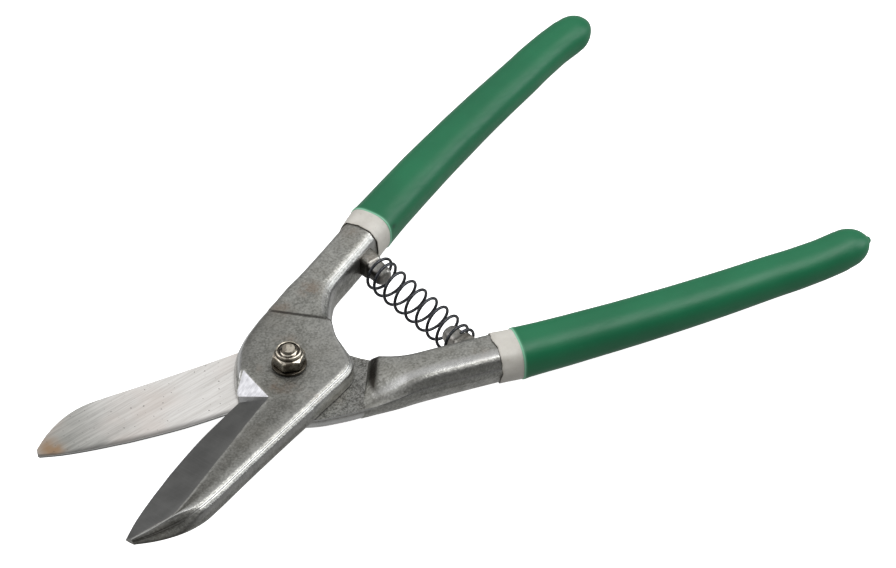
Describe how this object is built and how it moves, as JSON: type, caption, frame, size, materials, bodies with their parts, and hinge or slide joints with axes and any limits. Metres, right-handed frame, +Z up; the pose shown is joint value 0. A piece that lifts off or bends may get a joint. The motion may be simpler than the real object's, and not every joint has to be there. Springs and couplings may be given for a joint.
{
  "type": "metal snips",
  "caption": "Hand snips for sheet metal: forged halves lapped on a bolted pivot, straight bevelled blades, a spring that opens them, and dipped plastic grips.",
  "frame": {"origin": "centre of the flat underside of the pivot bolt's head, on the pivot axis", "axes": "+Z up along the pivot axis towards the lock nut, +X along the middle of the open handles towards their ends, so the blades point to -X"},
  "size_m": [0.2893, 0.1634, 0.0271],
  "materials": {
    "forged_steel": "shot-blasted grey forging with polished edges and ground blade faces",
    "grip_plastic": "satin green dipped plastic",
    "band_plastic": "satin pale grey undercoat",
    "plated_steel": "bright, slightly yellow plating",
    "spring_wire": "black oil-tempered wire",
    "nylon": "dull dark nylon"
  },
  "bodies": {
    "rear": {"rear_half": "forged_steel", "rear_grip": "grip_plastic", "rear_band": "band_plastic", "rear_spring_stud": "forged_steel", "pivot_bolt": "plated_steel", "lock_nut": "plated_steel", "nylon_insert": "nylon", "nut_washer": "plated_steel", "head_washer": "plated_steel", "return_spring": "spring_wire"},
    "front": {"front_half": "forged_steel", "front_grip": "grip_plastic", "front_band": "band_plastic", "front_spring_stud": "forged_steel"}
  },
  "joints": [
    {"name": "pivot", "type": "hinge", "parent": "rear", "child": "front", "pos_m": [0, 0, 0.0122], "axis": [0, 0, 1], "range_deg": [-31, 4], "stiffness_Nm_per_rad": 1.9, "deforming": ["return_spring"]}
  ]
}
